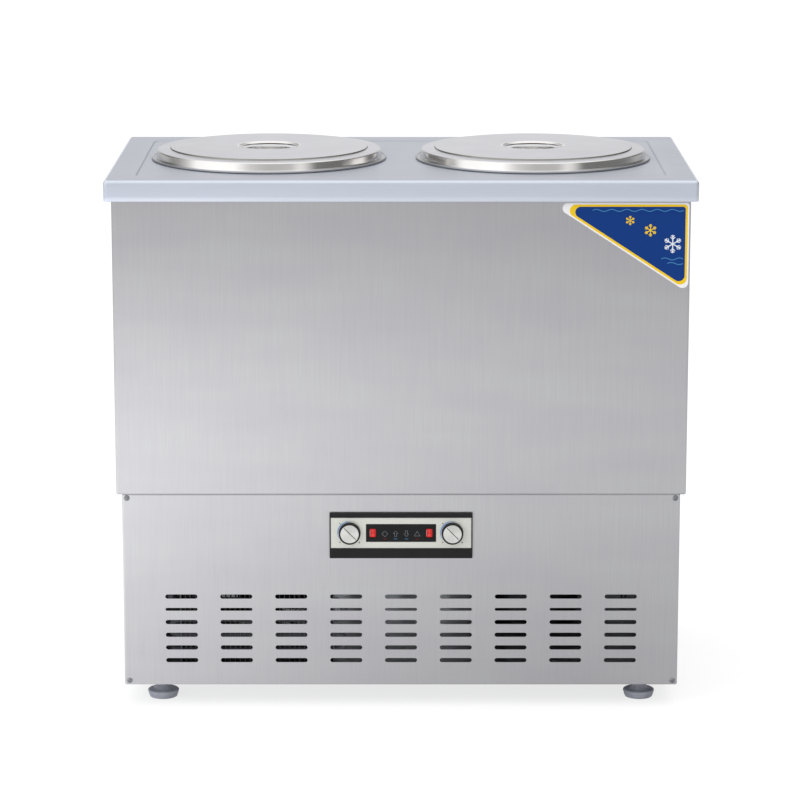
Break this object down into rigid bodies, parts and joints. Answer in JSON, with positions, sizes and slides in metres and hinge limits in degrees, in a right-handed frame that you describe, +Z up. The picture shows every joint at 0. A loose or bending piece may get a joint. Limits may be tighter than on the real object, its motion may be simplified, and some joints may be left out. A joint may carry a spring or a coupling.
{
  "type": "broth refrigerator",
  "caption": "Counter-height stainless refrigerator with two lift-out lidded pots sunk in its worktop, a slotted machine compartment, rotary controls and rocker switches.",
  "frame": {"origin": "on the floor, under the middle of the worktop", "axes": "+X to the user's right along the front, -Y out of the front, +Z up"},
  "size_m": [0.9, 0.52, 0.8489],
  "materials": {
    "worktop_steel": "satin, pressed sheet",
    "panel_steel": "satin sheet",
    "lid_steel": "satin, polished skirt and recess",
    "pot_steel": "polished bead, satin wall",
    "well_steel": "satin",
    "zinc_steel": "zinc coated sheet",
    "foam": "rigid foam",
    "copper": "drawn copper tube",
    "fin_aluminium": "bright foil",
    "black_enamel": "gloss black enamel",
    "black_plastic": "moulded, fine texture",
    "gloss_black": "clear gloss over black",
    "fascia_metal": "brushed, anodised",
    "cap_metal": "spun, anodised",
    "red_plastic": "translucent red",
    "lamp_plastic": "tinted lens",
    "foot_plastic": "grey moulded",
    "rubber": "matte",
    "screw_steel": "dull",
    "valve_brass": "turned",
    "motor_steel": "black paint",
    "white_plastic": "moulded"
  },
  "bodies": {
    "cabinet": {"worktop": "worktop_steel", "upper_front_panel": "panel_steel", "upper_back_panel": "panel_steel", "upper_side_panel_left": "panel_steel", "upper_side_panel_right": "panel_steel", "divider_plate": "zinc_steel", "insulation_foam": "foam", "well_left": "well_steel", "well_right": "well_steel", "evaporator_left": "copper", "evaporator_right": "copper", "lower_front_panel": "panel_steel", "lower_back_panel": "panel_steel", "lower_side_panel_left": "panel_steel", "lower_side_panel_right": "panel_steel", "base_pan": "zinc_steel", "corner_posts": "zinc_steel", "panel_screws": "screw_steel", "cable_gland": "black_plastic", "compressor": "black_enamel", "compressor_mounts": "rubber", "compressor_terminal_cover": "black_plastic", "condenser_fins": "fin_aluminium", "condenser_tube": "copper", "fan_shroud": "zinc_steel", "fan_motor": "motor_steel", "filter_drier": "copper", "discharge_line": "copper", "liquid_line": "copper", "suction_line": "copper", "solenoid_valves": "valve_brass", "control_bezel": "black_plastic", "control_fascia": "fascia_metal", "control_window": "gloss_black", "control_housing": "black_plastic", "indicator_lenses": "lamp_plastic", "thermostat_left": "white_plastic", "thermostat_right": "white_plastic", "switch_body_left": "gloss_black", "switch_body_right": "gloss_black", "foot_nuts": "zinc_steel"},
    "lid_left": {"lid_left": "lid_steel", "lid_strap_left": "lid_steel"},
    "lid_right": {"lid_right": "lid_steel", "lid_strap_right": "lid_steel"},
    "pot_left": {"pot_left": "pot_steel"},
    "pot_right": {"pot_right": "pot_steel"},
    "knob_left": {"knob_left": "black_plastic", "knob_cap_left": "cap_metal", "thermostat_shaft_left": "screw_steel"},
    "knob_right": {"knob_right": "black_plastic", "knob_cap_right": "cap_metal", "thermostat_shaft_right": "screw_steel"},
    "rocker_left": {"switch_rocker_left": "red_plastic"},
    "rocker_right": {"switch_rocker_right": "red_plastic"},
    "fan": {"fan_blade": "fin_aluminium"},
    "foot_front_left": {"foot_front_left": "foot_plastic"},
    "foot_front_right": {"foot_front_right": "foot_plastic"},
    "foot_back_left": {"foot_back_left": "foot_plastic"},
    "foot_back_right": {"foot_back_right": "foot_plastic"}
  },
  "joints": [
    {"name": "pot_left_lift", "type": "slide", "parent": "cabinet", "child": "pot_left", "axis": [0, 0, 1], "range_m": [0, 0.41]},
    {"name": "lid_left_lift", "type": "slide", "parent": "pot_left", "child": "lid_left", "axis": [0, 0, 1], "range_m": [0, 0.3]},
    {"name": "knob_left_turn", "type": "hinge", "parent": "cabinet", "child": "knob_left", "pos_m": [-0.0795, -0.25, 0.279], "axis": [0, 1, 0], "range_deg": [-90, 180]},
    {"name": "rocker_left_press", "type": "hinge", "parent": "cabinet", "child": "rocker_left", "pos_m": [-0.0437, -0.2429, 0.279], "axis": [1, 0, 0], "range_deg": [0, 16]},
    {"name": "pot_right_lift", "type": "slide", "parent": "cabinet", "child": "pot_right", "axis": [0, 0, 1], "range_m": [0, 0.41]},
    {"name": "lid_right_lift", "type": "slide", "parent": "pot_right", "child": "lid_right", "axis": [0, 0, 1], "range_m": [0, 0.3]},
    {"name": "knob_right_turn", "type": "hinge", "parent": "cabinet", "child": "knob_right", "pos_m": [0.0795, -0.25, 0.279], "axis": [0, 1, 0], "range_deg": [-90, 180]},
    {"name": "rocker_right_press", "type": "hinge", "parent": "cabinet", "child": "rocker_right", "pos_m": [0.0437, -0.2429, 0.279], "axis": [1, 0, 0], "range_deg": [0, 16]},
    {"name": "fan_spin", "type": "hinge", "parent": "cabinet", "child": "fan", "pos_m": [-0.2248, -0.155, 0.1546], "axis": [0, 1, 0], "continuous": true},
    {"name": "foot_front_left_height", "type": "slide", "parent": "cabinet", "child": "foot_front_left", "axis": [0, 0, -1], "range_m": [0, 0.015]},
    {"name": "foot_front_right_height", "type": "slide", "parent": "cabinet", "child": "foot_front_right", "axis": [0, 0, -1], "range_m": [0, 0.015]},
    {"name": "foot_back_left_height", "type": "slide", "parent": "cabinet", "child": "foot_back_left", "axis": [0, 0, -1], "range_m": [0, 0.015]},
    {"name": "foot_back_right_height", "type": "slide", "parent": "cabinet", "child": "foot_back_right", "axis": [0, 0, -1], "range_m": [0, 0.015]}
  ]
}
